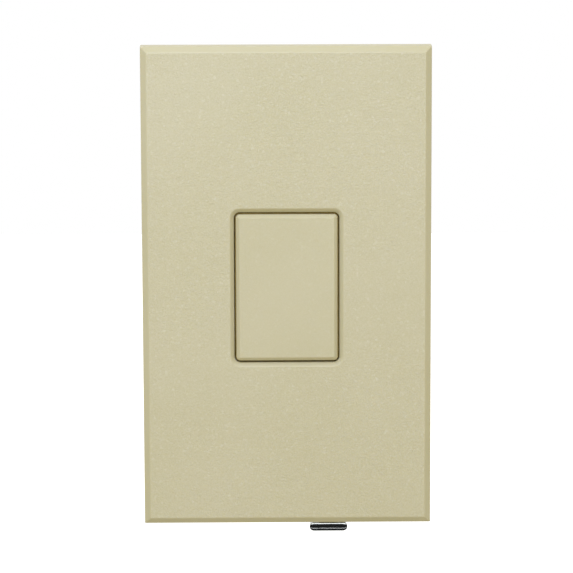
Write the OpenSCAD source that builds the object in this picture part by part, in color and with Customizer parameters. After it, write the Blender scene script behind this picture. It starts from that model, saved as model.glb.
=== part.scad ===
// Wall dimmer with a large press button and a slide lever under its faceplate.
// X runs to the right, Y into the wall and Z up. The origin is the centre of the faceplate on the wall's surface.

/* [Faceplate] */
// Width of the faceplate across its rear rim
plate_w = 69.85; // [66:0.05:96]
// Height of the faceplate across its rear rim
plate_h = 115.8; // [112:0.1:150]
// Distance from the wall to the faceplate's front face
plate_d = 7.6; // [7:0.1:10]
// Thickness of the front wall
plate_front_t = 2.2; // [1.6:0.1:2.6]
// Thickness of the side walls at the rim
plate_side_t = 1.8; // [1.4:0.1:2.4]
// Width and depth of the bevel round the front face
plate_bevel = 1.45; // [0.6:0.05:2]
// How far each side wall leans in between the rim and the bevel
plate_draft = 0.25; // [0:0.05:0.5]
// Chamfer round the button's opening
opening_chamfer = 0.95; // [0.4:0.05:1.4]

/* [Button] */
// Width of the button
button_w = 24.3; // [22:0.1:30]
// Height of the button
button_h = 35.3; // [34:0.1:40]
// Gap between the button and the faceplate
button_gap = 0.45; // [0.4:0.05:0.8]
// Corner radius of the button
button_r = 0.9; // [0.9:0.1:3]
// Chamfer round the button's face
button_chamfer = 0.8; // [0.3:0.05:0.85]
// How far the button's face stands proud of the faceplate
button_proud = 0.2; // [0:0.1:1]
// Thickness of the button's face
button_front_t = 1.6; // [1.2:0.1:2]
// Thickness of the button's side walls
button_wall = 1.4; // [1.2:0.1:1.8]
// How far the button turns when it is pressed, in degrees
button_travel = 4; // [2:0.5:4]
// Diameter of the hinge pin
hinge_pin_d = 1.5; // [1.2:0.1:1.8]
// Distance from the button's top edge down to the hinge
hinge_drop = 3.2; // [3:0.1:5]

/* [Slide] */
// Travel of the slide lever
slide_travel = 20; // [12:1:20]
// Width of the lever's metal tip
knob_w = 9.2; // [7:0.1:14]
// Height of the lever's metal tip
knob_h = 2.1; // [1.8:0.1:4]
// Depth of the lever's metal tip
knob_d = 3.5; // [3:0.1:4.5]
// Thickness of the sliding carriage
carriage_t = 1.2; // [1:0.1:1.4]

/* [Yoke and fixings] */
// Thickness of the yoke
yoke_t = 1.6; // [1.2:0.1:2]
// Height of the yoke
yoke_h = 106.4; // [104:0.1:110]
// Height of the yoke's side flanges in front of its plate
flange_h = 3; // [2.8:0.1:3.4]
// Distance between the two box screws
box_screw_spacing = 83.34; // [80:0.01:90]
// Diameter of the box screws' thread
box_screw_d = 3.5; // [3:0.1:4]
// How far the box screws reach behind the wall's surface
box_screw_reach = 20; // [12:1:30]

/* [Housing] */
// Width of the rear housing
housing_w = 44; // [44:0.5:54]
// Height of the rear housing
housing_h = 66; // [66:0.5:68]
// Depth of the rear housing behind the wall's surface
housing_d = 28; // [28:0.5:40]
// Thickness of the housing's walls
housing_wall = 1.8; // [1.4:0.1:2]
// Thickness of the mechanism cover
cover_t = 2; // [1.6:0.1:2.2]
// Distance from the wall's surface to the circuit board
board_y = 12; // [12:0.5:14]
// Thickness of the circuit board
board_t = 1.6; // [1:0.1:2]

/* [Hidden] */
$fn = 48;

// Clearances: a running fit, a loose hole, a push fit of fixed parts, and the gap between moving faces
run_gap = 0.05;
loose_gap = 0.2;
push_gap = 0.02;
face_gap = 0.25;
overlap = 0.5; // how far joined shapes reach into each other

// The yoke stops just short of the wall, so that the faceplate's rim meets the wall first
rim_lead = 0.1;
yoke_back = -rim_lead;
yoke_front = yoke_back - yoke_t;
cover_back = yoke_back + cover_t;

// Faceplate
cavity_y = plate_front_t - plate_d;
cavity_w = plate_w - 2 * plate_side_t;
cavity_h = plate_h - 2 * plate_side_t;
opening_w = button_w + 2 * button_gap;
opening_h = button_h + 2 * button_gap;
opening_r = button_r + button_gap;
surround_t = 1.2;
rib_t = 1;
rib_h = 0.8;
snap_z = 26;
snap_l = 7;

// Yoke
yoke_w = cavity_w - 1;
yoke_r = 4;
flange_half = 34;
window_margin = 1;
surround_y = yoke_front - 0.4;
flange_y = yoke_front - flange_h;
snap_front = flange_y + 0.6;
snap_back = yoke_front - 0.4;

// Button and hinge
button_front = -plate_d - button_proud;
button_under = button_front + button_front_t;
button_rear = yoke_front - 1.1;
button_in_w = button_w - 2 * button_wall;
button_in_h = button_h - 2 * button_wall;
hinge_y = yoke_front - 2.4;
hinge_z = button_h / 2 - hinge_drop;
hinge_pin_l = button_w - 0.4;
cheek_t = 1.6;
cheek_x = button_in_w / 2 - 0.4 - cheek_t / 2;
cheek_w = hinge_pin_d + 2;

// Return springs
spring_x = 7;
spring_z = -12;
spring_d = 4;
spring_wire = 0.45;
spring_boss_d = 2.4;
spring_boss_h = 1.4;
cup_wall = 0.8;
cup_h = 1.4;

// Stop hook under the button's lower edge
hook_w = 7;
hook_t = 1.1;
hook_z = -button_h / 2 + 0.25;
hook_toe = 1.3;
hook_toe_h = 1.25;
hook_y = cover_back + 0.15;
hook_slot_top = hook_z + hook_t + 0.7;

// Push switch
switch_z = -8;
switch_w = 13;
switch_h = 12;
switch_wall = 1.2;
switch_y = cover_back + 0.3;
switch_base_t = 1.2;
plunger_w = 4;
plunger_h = 3;
plunger_tip = yoke_front - 0.4;
plunger_arm = hinge_z - switch_z;
plunger_travel = plunger_arm * sin(button_travel);
plunger_flange_y = switch_y + switch_wall + 0.6;
plunger_flange_t = 1.2;
spigot_d = 2;
spigot_l = 2;
plunger_spring_d = 3.6;
plunger_spring_wire = 0.4;
contact_x = 3.4;
contact_z = switch_z - 3.5;
contact_t = 0.4;

// Slide potentiometer
pot_z = -26.5;
pot_h = 8.4;
pot_half = slide_travel / 2 + 4.5;
pot_wall = 0.8;
pot_y = cover_back + 0.3;
pot_track_y = pot_y + 6.7;
pot_track_t = 1;
stem_w = 3.6;
stem_h = 1.6;
slider_w = 7;
slider_y = pot_y + 2.2;
slider_back = pot_track_y - 1.4;

// Sliding carriage, its knob and its guides, with the lever at the right end of its travel
slide_x = slide_travel / 2;
carriage_back = yoke_front - face_gap;
carriage_front = carriage_back - carriage_t;
box_screw_z = box_screw_spacing / 2;
screw_head_d = 6.9;
screw_head_h = 2.1;
rivet_d = 3;
rivet_tail_d = 2.2;
rivet_head_d = 5.6;
rivet_head_t = 0.8;
screw_window_h = screw_head_d + 1;
guide_slot_h = rivet_d + 0.3;
web = 2.7;
guide_z = [
    -box_screw_z + screw_window_h / 2 + web + guide_slot_h / 2,
    -box_screw_z - screw_window_h / 2 - web - guide_slot_h / 2
];
carriage_top = pot_z + 3;
carriage_bottom = guide_z[1] - guide_slot_h / 2 - 1.3;
carriage_w = slide_travel + screw_head_d + 1 + 2 * 3;
neck_w = 4.6;
knob_top = -plate_h / 2 - 0.2;
knob_back = carriage_back + 0.95;
knob_socket = knob_h - 0.8;
notch_half = slide_travel / 2 + neck_w / 2 + 0.6;
notch_d = -carriage_front + 0.45;

// Screws that hold the yoke, the cover and the housing together
cover_screw_x = housing_w / 2 - 3.8;
cover_screw_z = housing_h / 2 - 3.5;
cover_screw_d = 2.9;
cover_screw_head_d = 5.2;
cover_screw_l = 11.6;
ground_at = [12, housing_h / 2 + 4.4];
ground_d = 3.5;

// Housing
housing_r = 2;
housing_in_w = housing_w - 2 * housing_wall;
housing_in_h = housing_h - 2 * housing_wall;
housing_in_back = housing_d - housing_wall;
post_w = 4.9;
lip_t = 1.2;
lip_h = 1.5;
lip_half = 15;

// Terminals in two pockets on the right side
pocket_z = 10;
pocket_half = 5;
pocket_x = 15;
terminal_t = 1;
terminal_half = 4.4;
terminal_screw_d = 3.5;
terminal_head_d = 7.6;
terminal_head_h = 2.2;
wire_gap = 1.4;
tail_half = 2;
tail_y = board_y + board_t;
terminal_screw_y = tail_y + terminal_t + 1 + terminal_screw_d / 2;
terminal_y = [terminal_screw_y - 5.5, terminal_screw_y + 5.5];
pocket_y = terminal_y[0] - 1.5;

// Circuit board and what stands on it
board_back = board_y + board_t;
board_left = -housing_in_w / 2 + 0.6;
board_right = pocket_x - housing_wall - 0.6;
board_half_h = housing_in_h / 2 - 0.6;
pin_d = 0.7;
pin_hole_d = 1.1;
pin_proud = 0.8;
board_post_d = 4.6;
board_screw_d = 2;
board_screw_at = [[board_left + 3.1, 1.5], [board_right - 3.1, 17]];
film_at = [board_left + 6.4, -13];
film_size = [8, 12, 18];
timing_at = [-3.5, -19];
timing_size = [5, 9, 10];
resistor_x = 2.5;
resistor_z = [-4.5, -1, 2.5];
resistor_d = 2.4;
resistor_l = 6.3;
diac_z = 6;
diac_d = 1.8;
diac_l = 3.8;
lead_half = 4.6;
choke_at = [-6.2, 17.6];
choke_ring_r = 7.4;
choke_core_r = 3.6;
choke_wire = 0.75;
choke_turns = 20;
choke_y = board_back + choke_core_r + choke_wire + 0.15;

// Triac against the back of the yoke
triac_x = -12;
triac_z = 25.7;
triac_w = 10;
mica_t = 0.15;
triac_tab_t = 1.3;
triac_hole_d = 3.1;
triac_rivet_d = 3;
triac_rivet_head_d = 5;
triac_tab_x = [triac_x - 2.7, triac_x + 3.7];
triac_body_x = [triac_tab_x[1], triac_tab_x[1] + 9.2];
mica_back = yoke_back + mica_t;
triac_body_back = mica_back + 4.5;
triac_leg_x = triac_body_x[1] + 4.3;
triac_leg_y = 2.4;
triac_leg_t = 0.5;
triac_leg_pitch = 2.54;

// Places of every pin in the board, as [x, z]
triac_pins = [for (k = [-1:1]) [triac_leg_x, triac_z + k * triac_leg_pitch]];
pot_pin_at = [for (x = [-pot_half + 2, -pot_half + 4.6, pot_half - 4.6]) [x, pot_z]];
switch_pin_at = [for (s = [-1, 1]) [s * contact_x, contact_z]];
film_pins = [for (s = [-1, 1]) [film_at[0], film_at[1] + s * 7.5]];
timing_pins = [for (s = [-1, 1]) [timing_at[0], timing_at[1] + s * 3.75]];
axial_pins = [for (z = concat(resistor_z, [diac_z]), s = [-1, 1]) [resistor_x + s * lead_half, z]];
choke_pins = [for (a = [-9, 9]) choke_at + (choke_ring_r + choke_core_r + choke_wire + 0.55) * [sin(a), -cos(a)]];
board_pins = concat(triac_pins, pot_pin_at, switch_pin_at, film_pins, timing_pins, axial_pins, choke_pins);

// ---- Shared shapes: drawings are in X and Z, and are given a depth in Y ----

module slab(y0, y1) {
    translate([0, y1, 0]) rotate([90, 0, 0]) linear_extrude(y1 - y0) children();
}

module round_rect(w, h, r) {
    square([w, h - 2 * r], center = true);
    square([w - 2 * r, h], center = true);
    for (x = [-1, 1], z = [-1, 1]) translate([x * (w / 2 - r), z * (h / 2 - r)]) circle(r);
}

module slot(l, h) {
    square([l - h, h], center = true);
    for (x = [-1, 1]) translate([x * (l - h) / 2, 0]) circle(h / 2);
}

// A rounded slab that narrows by inset on each side between y0 and y1
module taper(w, h, r, y0, inset, y1) {
    cx = w / 2 - r;
    cz = h / 2 - r;
    translate([-cx, 0, 0]) rotate([90, 0, 90]) linear_extrude(2 * cx)
        polygon([[y0, -h / 2], [y1, -h / 2 + inset], [y1, h / 2 - inset], [y0, h / 2]]);
    translate([0, 0, -cz]) linear_extrude(2 * cz)
        polygon([[-w / 2, y0], [-w / 2 + inset, y1], [w / 2 - inset, y1], [w / 2, y0]]);
    for (x = [-1, 1], z = [-1, 1]) translate([x * cx, y0, z * cz])
        rotate([y1 < y0 ? 90 : -90, 0, 0]) cylinder(r1 = r, r2 = r - inset, h = abs(y1 - y0));
}

// A round bar or bore along Y, and one along X
module rod_y(x, z, d, y0, y1) {
    translate([x, y1, z]) rotate([90, 0, 0]) cylinder(d = d, h = y1 - y0);
}

module rod_x(x0, x1, y, z, d) {
    translate([x0, y, z]) rotate([0, 90, 0]) cylinder(d = d, h = x1 - x0);
}

module block(x, y, z) {
    translate([x[0], y[0], z[0]]) cube([x[1] - x[0], y[1] - y[0], z[1] - z[0]]);
}

// A screw along Z with its head above Z = 0
module pan_head(d, h, recess) {
    difference() {
        union() {
            cylinder(d = d, h = h * 0.6);
            translate([0, 0, h * 0.6]) cylinder(d1 = d, d2 = d * 0.74, h = h * 0.4);
        }
        for (a = [0, 90]) rotate(a) translate([-d * 0.28, -recess / 2, h * 0.45]) cube([d * 0.56, recess, h]);
    }
}

// A coil spring along Z from 0 to its length
module coil(d, wire, length, turns, steps = 14, sides = 6) {
    rings = turns * steps;
    r = (d - wire) / 2;
    points = [for (k = [0 : rings], j = [0 : sides - 1])
        let (a = 360 * k / steps, b = 360 * j / sides, z = wire / 2 + (length - wire) * k / rings)
        [(r + wire / 2 * cos(b)) * cos(a), (r + wire / 2 * cos(b)) * sin(a), z + wire / 2 * sin(b)]];
    faces = concat(
        [[for (j = [0 : sides - 1]) j]],
        [for (k = [0 : rings - 1], j = [0 : sides - 1]) let (n = (j + 1) % sides)
            [k * sides + j, (k + 1) * sides + j, (k + 1) * sides + n, k * sides + n]],
        [[for (j = [sides - 1 : -1 : 0]) rings * sides + j]]
    );
    polyhedron(points, faces);
}

// ---- Front ----

module faceplate_block() {
    flat = plate_d - plate_bevel;
    intersection() {
        translate([0, 0, -plate_h / 2]) linear_extrude(plate_h) polygon([
            [-plate_w / 2, 0], [-plate_w / 2 + plate_draft, -flat],
            [-plate_w / 2 + plate_draft + plate_bevel, -plate_d],
            [plate_w / 2 - plate_draft - plate_bevel, -plate_d],
            [plate_w / 2 - plate_draft, -flat], [plate_w / 2, 0]
        ]);
        translate([-plate_w / 2, 0, 0]) rotate([90, 0, 90]) linear_extrude(plate_w) polygon([
            [0, -plate_h / 2], [-flat, -plate_h / 2 + plate_draft],
            [-plate_d, -plate_h / 2 + plate_draft + plate_bevel],
            [-plate_d, plate_h / 2 - plate_draft - plate_bevel],
            [-flat, plate_h / 2 - plate_draft], [0, plate_h / 2]
        ]);
    }
}

// A lug on the inside of the side wall, which clicks into the yoke's flange
module snap_lug() {
    reach = 1.3;
    translate([0, 0, -snap_l / 2]) linear_extrude(snap_l) polygon([
        [cavity_w / 2 + overlap, snap_front + 0.1], [cavity_w / 2 - reach, snap_front + 0.1],
        [cavity_w / 2 - reach, snap_front + 0.7], [cavity_w / 2, snap_back - 0.2],
        [cavity_w / 2 + overlap, snap_back - 0.2]
    ]);
}

module faceplate() {
    rib_y = [cavity_y - overlap, cavity_y + rib_h];
    rib_x = opening_w / 2 + surround_t + 7;
    rib_half = yoke_w / 2 - yoke_t - 0.5;
    color("khaki") difference() {
        union() {
            difference() {
                faceplate_block();
                slab(cavity_y, 1) square([cavity_w, cavity_h], center = true);
            }
            slab(cavity_y - overlap, surround_y)
                round_rect(opening_w + 2 * surround_t, opening_h + 2 * surround_t, opening_r + surround_t);
            for (s = [-1, 1]) {
                block([s * rib_x - rib_t / 2, s * rib_x + rib_t / 2], rib_y, [-cavity_h / 2 - overlap, cavity_h / 2 + overlap]);
                for (z = [opening_h / 2 + 8, opening_h / 2 + 24])
                    block([-rib_half, rib_half], rib_y, [s * z - rib_t / 2, s * z + rib_t / 2]);
            }
            for (turn = [0, 180], z = [-snap_z, snap_z]) translate([0, 0, z]) rotate([0, turn, 0]) snap_lug();
        }
        slab(-plate_d - 1, 1) round_rect(opening_w, opening_h, opening_r);
        taper(opening_w + 2 * opening_chamfer, opening_h + 2 * opening_chamfer, opening_r + opening_chamfer,
            -plate_d, opening_chamfer, -plate_d + opening_chamfer);
        block([-notch_half, notch_half], [-notch_d, 1], [-plate_h / 2 - 1, -cavity_h / 2 + 1]);
    }
}

module button() {
    rib_tip = plunger_tip - 0.2;
    color("khaki") difference() {
        union() {
            difference() {
                union() {
                    slab(button_front + button_chamfer, button_rear) round_rect(button_w, button_h, button_r);
                    taper(button_w, button_h, button_r, button_front + button_chamfer, button_chamfer, button_front);
                }
                slab(button_under, button_rear + 1) square([button_in_w, button_in_h], center = true);
            }
            // rib that pushes the plunger, with a cross rib to stiffen it
            block([-3, 3], [button_under - overlap, rib_tip], [switch_z - 1, switch_z + 1]);
            block([-0.6, 0.6], [button_under - overlap, rib_tip - 1], [switch_z - 4, switch_z + 4]);
            for (s = [-1, 1]) rod_y(s * spring_x, spring_z, spring_boss_d, button_under - overlap, button_under + spring_boss_h);
            // stop hook
            block([-hook_w / 2, hook_w / 2], [button_under - overlap, hook_y + hook_toe_h], [hook_z, hook_z + hook_t]);
            block([-hook_w / 2, hook_w / 2], [hook_y, hook_y + hook_toe_h], [hook_z, hook_z + hook_t + hook_toe]);
        }
        rod_x(-button_w, button_w, hinge_y, hinge_z, hinge_pin_d + 2 * run_gap);
    }
}

module hinge_pin() {
    color("silver") rod_x(-hinge_pin_l / 2, hinge_pin_l / 2, hinge_y, hinge_z, hinge_pin_d);
}

module return_springs() {
    color("silver") for (s = [-1, 1]) translate([s * spring_x, yoke_back, spring_z]) rotate([90, 0, 0])
        coil(spring_d, spring_wire, yoke_back - button_under, 5.5);
}

module slide_knob() {
    r = knob_h / 2 - 0.05;
    edge = 0.35;
    mid_z = knob_top - knob_h / 2;
    color("silver") difference() {
        translate([slide_x, 0, mid_z]) {
            slab(knob_back - knob_d + edge, knob_back - edge) round_rect(knob_w, knob_h, r);
            taper(knob_w, knob_h, r, knob_back - knob_d + edge, edge, knob_back - knob_d);
            taper(knob_w, knob_h, r, knob_back - edge, edge, knob_back);
        }
        block([slide_x - neck_w / 2 - push_gap, slide_x + neck_w / 2 + push_gap],
            [carriage_front - push_gap, carriage_back + push_gap], [knob_top - knob_socket, knob_top + 1]);
    }
}

module slide_carriage() {
    mid_z = (carriage_top + carriage_bottom) / 2;
    neck_end = knob_top - knob_socket + 0.1;
    color("dimgray") translate([slide_x, 0, 0]) difference() {
        slab(carriage_front, carriage_back) {
            translate([0, mid_z]) round_rect(carriage_w, carriage_top - carriage_bottom, 2);
            translate([-neck_w / 2, neck_end]) square([neck_w, carriage_bottom - neck_end + overlap]);
        }
        slab(carriage_front - 1, carriage_back + 1) {
            for (z = guide_z) translate([0, z]) slot(slide_travel + rivet_d + 0.6, guide_slot_h);
            translate([0, -box_screw_z]) slot(slide_travel + screw_window_h, screw_window_h);
            translate([0, pot_z]) square([stem_w + loose_gap, stem_h + loose_gap], center = true);
        }
    }
}

// ---- Yoke and fixings ----

module yoke() {
    color("lightgray") difference() {
        union() {
            slab(yoke_front, yoke_back) round_rect(yoke_w, yoke_h, yoke_r);
            for (s = [-1, 1]) block(
                [s * (yoke_w / 2 - yoke_t / 2) - yoke_t / 2, s * (yoke_w / 2 - yoke_t / 2) + yoke_t / 2],
                [flange_y, yoke_back], [-flange_half, flange_half]);
        }
        slab(yoke_front - 1, 1) {
            round_rect(button_w + 2 * window_margin, button_h + 2 * window_margin, 2);
            translate([0, pot_z]) slot(slide_travel + stem_w + 1.2, stem_h + 1.2);
            for (s = [-1, 1]) translate([0, s * box_screw_z]) slot(7, box_screw_d + 0.7);
        }
        for (z = guide_z) rod_y(0, z, rivet_tail_d + 2 * push_gap, yoke_front - 1, 1);
        rod_y(triac_x, triac_z, triac_hole_d, yoke_front - 1, 1);
        rod_y(ground_at[0], ground_at[1], ground_d + 2 * push_gap, yoke_front - 1, 1);
        for (x = [-1, 1], z = [-1, 1]) translate([x * cover_screw_x, 0, z * cover_screw_z]) {
            rod_y(0, 0, cover_screw_d + 0.4, yoke_front - 1, 1);
            rotate([-90, 0, 0]) translate([0, 0, yoke_front - 0.01]) countersink(0.1);
        }
        for (x = [-1, 1], z = [-1, 1]) block(
            [x * yoke_w / 2 - yoke_t - 1, x * yoke_w / 2 + yoke_t + 1],
            [snap_front, snap_back], [z * snap_z - snap_l / 2 - 0.5, z * snap_z + snap_l / 2 + 0.5]);
    }
}

// The cone of a countersunk head along Z, wide end at 0, grown by a gap
module countersink(gap) {
    depth = (cover_screw_head_d - cover_screw_d) / 2;
    cylinder(d1 = cover_screw_head_d + 2 * gap, d2 = cover_screw_d + 2 * gap, h = depth);
}

module box_screws() {
    neck_d = box_screw_d - 0.5;
    thread_y = 0.45;
    tip = 0.8;
    color("silver") for (s = [-1, 1]) translate([0, 0, s * box_screw_z]) {
        translate([0, yoke_front, 0]) rotate([90, 0, 0]) pan_head(screw_head_d, screw_head_h, 1);
        rod_y(0, 0, neck_d, yoke_front - overlap, thread_y + overlap);
        rod_y(0, 0, box_screw_d, thread_y, box_screw_reach - tip);
        translate([0, box_screw_reach - tip, 0]) rotate([-90, 0, 0])
            cylinder(d1 = box_screw_d, d2 = box_screw_d - 1.4, h = tip);
    }
}

module screw_retainers() {
    side = 9;
    retainer_t = 0.42;
    color("tan") for (s = [-1, 1]) translate([0, 0, s * box_screw_z]) difference() {
        slab(yoke_back + push_gap, yoke_back + retainer_t) round_rect(side, side, 1);
        rod_y(0, 0, box_screw_d - 0.4, -1, 1);
    }
}

module cover_screws() {
    color("silver") for (x = [-1, 1], z = [-1, 1])
        translate([x * cover_screw_x, yoke_front, z * cover_screw_z]) rotate([-90, 0, 0]) difference() {
            union() {
                countersink(0);
                cylinder(d = cover_screw_d, h = cover_screw_l - 1);
                translate([0, 0, cover_screw_l - 1]) cylinder(d1 = cover_screw_d, d2 = 1, h = 1);
            }
            for (a = [0, 90]) rotate(a) translate([-1.4, -0.35, -1]) cube([2.8, 0.7, 1.8]);
        }
}

module guide_rivets() {
    shoulder = carriage_front - loose_gap;
    color("silver") for (z = guide_z) {
        rod_y(0, z, rivet_head_d, shoulder - rivet_head_t, shoulder);
        rod_y(0, z, rivet_d, shoulder - rivet_head_t / 2, yoke_front);
        rod_y(0, z, rivet_tail_d, yoke_front - overlap, yoke_back);
    }
}

module ground_screw() {
    head_y = 0.9;
    color("green") translate([ground_at[0], 0, ground_at[1]]) {
        translate([0, head_y, 0]) rotate([-90, 0, 0]) pan_head(7.4, 2.2, 1);
        rod_y(0, 0, ground_d, yoke_front - 1.4, head_y + overlap);
    }
}

// ---- Mechanism cover ----

// An ear for the hinge pin, rounded about the pin, drawn in Y and Z and given its thickness in X
module hinge_cheek() {
    rotate([90, 0, 90]) translate([0, 0, -cheek_t / 2]) linear_extrude(cheek_t) {
        translate([hinge_y, hinge_z]) circle(d = cheek_w);
        translate([hinge_y, hinge_z - cheek_w / 2]) square([overlap - hinge_y, cheek_w]);
    }
}

module mechanism_cover() {
    lip_x = housing_in_w / 2 - 0.15;
    color([0.12, 0.12, 0.13]) difference() {
        union() {
            slab(yoke_back, cover_back) round_rect(housing_w, housing_h, housing_r);
            for (s = [-1, 1]) {
                translate([s * cheek_x, 0, 0]) hinge_cheek();
                rod_y(s * spring_x, spring_z, spring_d + 0.6 + 2 * cup_wall, yoke_back - cup_h, yoke_back + overlap);
                block([s * lip_x - (s > 0 ? lip_t : 0), s * lip_x + (s > 0 ? 0 : lip_t)],
                    [cover_back - overlap, cover_back + lip_h], [-lip_half, lip_half]);
            }
            for (p = board_screw_at) rod_y(p[0], p[1], board_post_d, cover_back - overlap, board_y);
        }
        for (s = [-1, 1]) rod_y(s * spring_x, spring_z, spring_d + 0.6, yoke_back - cup_h - 1, yoke_back);
        rod_x(-housing_w, housing_w, hinge_y, hinge_z, hinge_pin_d + 2 * push_gap);
        for (p = board_screw_at) rod_y(p[0], p[1], board_screw_d + 2 * push_gap, cover_back + 1, board_y + 1);
        for (x = [-1, 1], z = [-1, 1]) rod_y(x * cover_screw_x, z * cover_screw_z, cover_screw_d + 0.4, -1, cover_back + 1);
        slab(-1, cover_back + 1) {
            translate([0, switch_z]) square([plunger_w + 0.6, plunger_h + 0.6], center = true);
            translate([-hook_w / 2 - 0.4, hook_z - 0.35]) square([hook_w + 0.8, hook_slot_top - hook_z + 0.35]);
            translate([0, pot_z]) slot(slide_travel + stem_w + 1.2, stem_h + 1.2);
            translate([triac_tab_x[0] - 0.6, triac_z - triac_w / 2 - 0.6])
                square([triac_leg_x - triac_tab_x[0] + 1.6, triac_w + 1.2]);
        }
    }
}

// ---- Push switch ----

module switch_case() {
    in_w = switch_w - 2 * switch_wall;
    in_h = switch_h - 2 * switch_wall;
    color("white") translate([0, 0, switch_z]) difference() {
        slab(switch_y, board_y) round_rect(switch_w, switch_h, 0.6);
        slab(switch_y + switch_wall, board_y + 1) square([in_w, in_h], center = true);
        slab(switch_y - 1, board_y) square([plunger_w + 0.5, plunger_h + 0.5], center = true);
    }
}

module switch_base() {
    in_w = switch_w - 2 * switch_wall - 0.1;
    in_h = switch_h - 2 * switch_wall - 0.1;
    color("saddlebrown") difference() {
        translate([0, 0, switch_z]) slab(board_y - switch_base_t, board_y) square([in_w, in_h], center = true);
        for (p = switch_pin_at) rod_y(p[0], p[1], pin_hole_d, 0, board_y + 1);
    }
}

module switch_plunger() {
    flange_back = plunger_flange_y + plunger_flange_t;
    color("white") {
        block([-plunger_w / 2, plunger_w / 2], [plunger_tip, plunger_flange_y + overlap],
            [switch_z - plunger_h / 2, switch_z + plunger_h / 2]);
        block([-4.5, 4.5], [plunger_flange_y, flange_back], [switch_z - 4.4, switch_z + 3.4]);
        rod_y(0, switch_z, spigot_d, flange_back - overlap, flange_back + spigot_l);
    }
}

module plunger_spring() {
    y0 = plunger_flange_y + plunger_flange_t;
    color("silver") translate([0, board_y - switch_base_t, switch_z]) rotate([90, 0, 0])
        coil(plunger_spring_d, plunger_spring_wire, board_y - switch_base_t - y0, 5);
}

module moving_contact() {
    y0 = plunger_flange_y + plunger_flange_t;
    color("orange") {
        block([-4.3, 4.3], [y0, y0 + contact_t], [contact_z - 0.8, contact_z + 0.8]);
        for (s = [-1, 1]) rod_y(s * contact_x, contact_z, 1.6, y0 + contact_t / 2, y0 + contact_t + 0.3);
    }
}

module fixed_contacts() {
    tip = plunger_flange_y + plunger_flange_t + contact_t + 0.3 + plunger_travel + 0.08;
    color("orange") for (p = switch_pin_at) {
        rod_y(p[0], p[1], 1.8, tip, board_y - switch_base_t - push_gap);
        rod_y(p[0], p[1], pin_d, tip + overlap, board_back + pin_proud);
    }
}

// ---- Slide potentiometer ----

module pot_case() {
    color("silver") translate([0, 0, pot_z]) difference() {
        slab(pot_y, pot_track_y) round_rect(2 * pot_half, pot_h, 0.6);
        slab(pot_y + pot_wall, pot_track_y + 1) square([2 * (pot_half - pot_wall), pot_h - 2 * pot_wall], center = true);
        slab(pot_y - 1, pot_track_y) slot(slide_travel + stem_w + 1.6, stem_h + 0.8);
    }
}

module pot_slider() {
    half_h = pot_h / 2 - pot_wall - 0.3;
    color([0.15, 0.15, 0.15]) {
        block([slide_x - slider_w / 2, slide_x + slider_w / 2], [slider_y, slider_back], [pot_z - half_h, pot_z + half_h]);
        block([slide_x - stem_w / 2, slide_x + stem_w / 2], [carriage_front - 0.3, slider_y + overlap],
            [pot_z - stem_h / 2, pot_z + stem_h / 2]);
    }
}

module pot_wiper() {
    color("gold") for (s = [-1, 1]) translate([slide_x, 0, pot_z + s * 1.6]) {
        block([-2.4, 2.4], [slider_back, slider_back + 0.2], [-0.6, 0.6]);
        rod_y(2, 0, 1, slider_back + 0.1, pot_track_y - 0.04);
    }
}

module pot_track() {
    color("saddlebrown") difference() {
        translate([0, 0, pot_z]) slab(pot_track_y, pot_track_y + pot_track_t) round_rect(2 * pot_half, pot_h, 0.6);
        for (p = pot_pin_at) rod_y(p[0], p[1], pin_d + 2 * push_gap, pot_track_y - 1, pot_track_y + 2);
    }
}

module pot_pins() {
    color("silver") for (p = pot_pin_at) {
        rod_y(p[0], p[1], pin_d, pot_track_y + 0.1, board_back + pin_proud);
        rod_y(p[0], p[1], 1.6, pot_track_y + pot_track_t + 0.05, board_y - 0.05);
    }
}

// ---- Circuit board ----

module circuit_board() {
    notch = post_w + 0.4;
    color("darkgreen") difference() {
        block([board_left, board_right], [board_y, board_back], [-board_half_h, board_half_h]);
        for (s = [-1, 1]) block([board_left - 1, -housing_in_w / 2 + notch], [board_y - 1, board_back + 1],
            [s * housing_in_h / 2 - notch, s * housing_in_h / 2 + notch]);
        for (p = board_pins) rod_y(p[0], p[1], pin_hole_d, board_y - 1, board_back + 1);
        for (p = board_screw_at) rod_y(p[0], p[1], board_screw_d + 0.4, board_y - 1, board_back + 1);
    }
}

module board_screws() {
    color("silver") for (p = board_screw_at) {
        translate([p[0], board_back, p[1]]) rotate([-90, 0, 0]) pan_head(4.2, 1.5, 0.7);
        rod_y(p[0], p[1], board_screw_d, board_y - 6, board_back + overlap);
    }
}

module triac() {
    color([0.1, 0.1, 0.1]) block(triac_body_x, [mica_back + triac_tab_t, triac_body_back],
        [triac_z - triac_w / 2, triac_z + triac_w / 2]);
}

module triac_tab() {
    color("silver") {
        difference() {
            block([triac_tab_x[0], triac_body_x[1] - 1], [mica_back, mica_back + triac_tab_t],
                [triac_z - triac_w / 2, triac_z + triac_w / 2]);
            rod_y(triac_x, triac_z, triac_hole_d, -1, 3);
        }
        for (p = triac_pins) {
            block([triac_body_x[1], triac_leg_x + triac_leg_t / 2], [triac_leg_y, triac_leg_y + triac_leg_t],
                [p[1] - 0.35, p[1] + 0.35]);
            block([triac_leg_x - triac_leg_t / 2, triac_leg_x + triac_leg_t / 2], [triac_leg_y, board_back + pin_proud],
                [p[1] - 0.35, p[1] + 0.35]);
        }
    }
}

module triac_insulator() {
    color("wheat") difference() {
        block([triac_tab_x[0] - 0.3, triac_body_x[1] - 0.5], [yoke_back, mica_back], [triac_z - triac_w / 2 - 0.3, triac_z + triac_w / 2 + 0.3]);
        rod_y(triac_x, triac_z, triac_hole_d, -1, 3);
    }
}

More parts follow.
